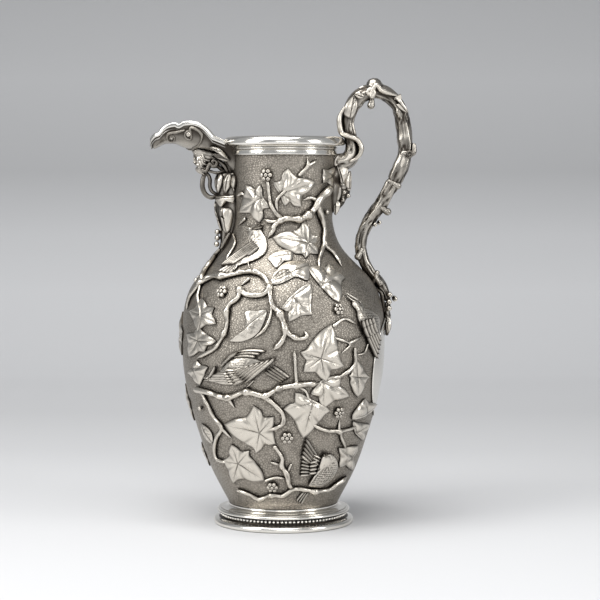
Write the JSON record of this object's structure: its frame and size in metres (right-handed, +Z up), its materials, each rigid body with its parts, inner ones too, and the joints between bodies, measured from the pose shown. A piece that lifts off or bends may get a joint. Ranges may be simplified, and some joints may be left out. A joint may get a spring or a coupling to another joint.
{
  "type": "ewer",
  "caption": "Tall silver ewer on a beaded round foot, with a branch handle, a mask spout and ivy, berries and birds in relief.",
  "frame": {"origin": "on the axis of the round body, in the plane of the foot rim that it stands on", "axes": "+Z up along the axis; +X towards the handle; the spout points to -X; the near side of the picture is -Y"},
  "size_m": [0.1974, 0.1566, 0.3302],
  "materials": {
    "matted_silver": "silver with a fine punched matting, darkened in its hollows",
    "chased_silver": "satin silver relief with dark outlines",
    "cast_silver": "cast satin silver with dark hollows",
    "polished_silver": "polished silver"
  },
  "bodies": {
    "root": {"vessel_wall": "matted_silver", "foot_collar": "polished_silver", "foot_step_ring": "polished_silver", "foot_beading": "polished_silver", "foot_base_moulding": "polished_silver", "neck_band": "polished_silver", "rim_moulding": "polished_silver", "spout_trough": "cast_silver", "spout_lip_wire": "cast_silver", "spout_scrolls": "cast_silver", "spout_bracket": "cast_silver", "spout_mask": "cast_silver", "mask_ear_leaves": "cast_silver", "mask_curls": "cast_silver", "spout_tendril": "cast_silver", "pendant_leaves": "chased_silver", "pendant_berries": "chased_silver", "handle_upper_limb": "cast_silver", "handle_lower_limb": "cast_silver", "handle_top_scroll": "cast_silver", "handle_leaves": "cast_silver", "handle_vine": "cast_silver", "handle_limb_berries": "cast_silver", "handle_neck_mount": "cast_silver", "handle_neck_leaves": "cast_silver", "handle_neck_berries": "cast_silver", "handle_body_mount": "cast_silver", "handle_body_leaf": "cast_silver", "handle_body_berries": "cast_silver", "neck_branches_front": "chased_silver", "neck_branches_back": "chased_silver", "neck_leaves_front": "chased_silver", "neck_leaves_back": "chased_silver", "body_branches_front": "chased_silver", "body_branches_back": "chased_silver", "body_leaves_front": "chased_silver", "body_leaves_back": "chased_silver", "berry_clusters_front": "chased_silver", "berry_clusters_back": "chased_silver", "perched_bird_front": "chased_silver", "perched_bird_back": "chased_silver", "flying_bird_front": "chased_silver", "flying_bird_back": "chased_silver", "side_bird_front": "chased_silver", "side_bird_back": "chased_silver", "preening_bird_front": "chased_silver", "preening_bird_back": "chased_silver", "cartouche_frame": "cast_silver"}
  },
  "joints": []
}
